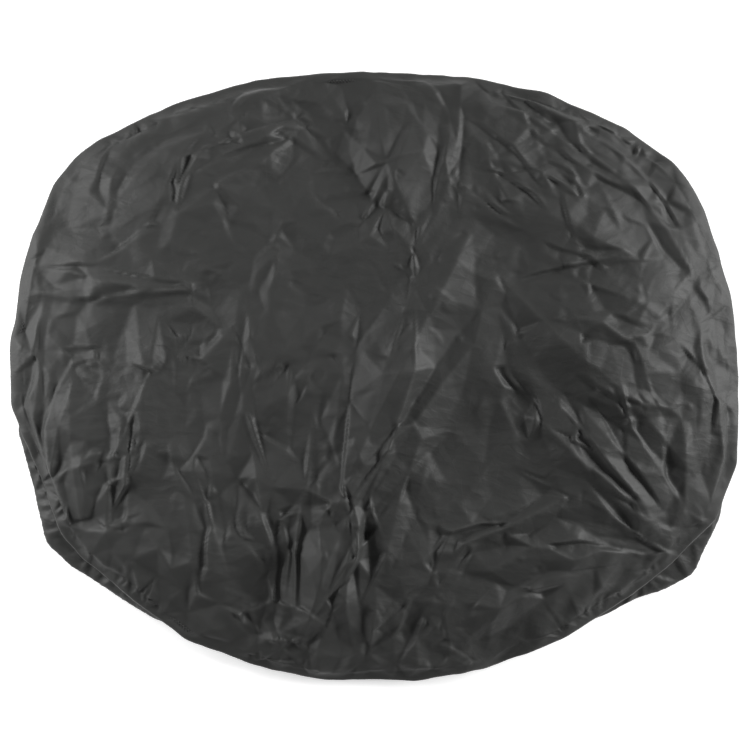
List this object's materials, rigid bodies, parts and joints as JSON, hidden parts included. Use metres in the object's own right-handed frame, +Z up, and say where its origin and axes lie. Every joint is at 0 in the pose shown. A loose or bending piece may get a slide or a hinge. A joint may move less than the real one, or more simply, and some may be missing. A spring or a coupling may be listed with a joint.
{
  "type": "spare tire cover",
  "caption": "Soft woven spare tyre cover lying loose and face up: round face panel, side band turned under and an elastic mouth that closes behind the wheel.",
  "frame": {"origin": "middle of the cover's outline, on the floor it lies on", "axes": "+X across the cover's long way, +Y across its short way, +Z up out of the face panel, with the mouth facing down"},
  "size_m": [0.8008, 0.671, 0.075],
  "materials": {
    "coated_cloth": "satin",
    "sewing_thread": "matte",
    "elastic_webbing": "matte"
  },
  "bodies": {
    "root": {"face_panel": "coated_cloth", "side_band": "coated_cloth", "hem_casing": "coated_cloth", "hem_elastic": "elastic_webbing", "elastic_join_stitching": "sewing_thread", "hem_stitching": "sewing_thread", "face_seam_stitching": "sewing_thread", "face_seam_overlock": "sewing_thread", "band_seam_stitching": "sewing_thread", "band_seam_overlock": "sewing_thread"}
  },
  "joints": []
}
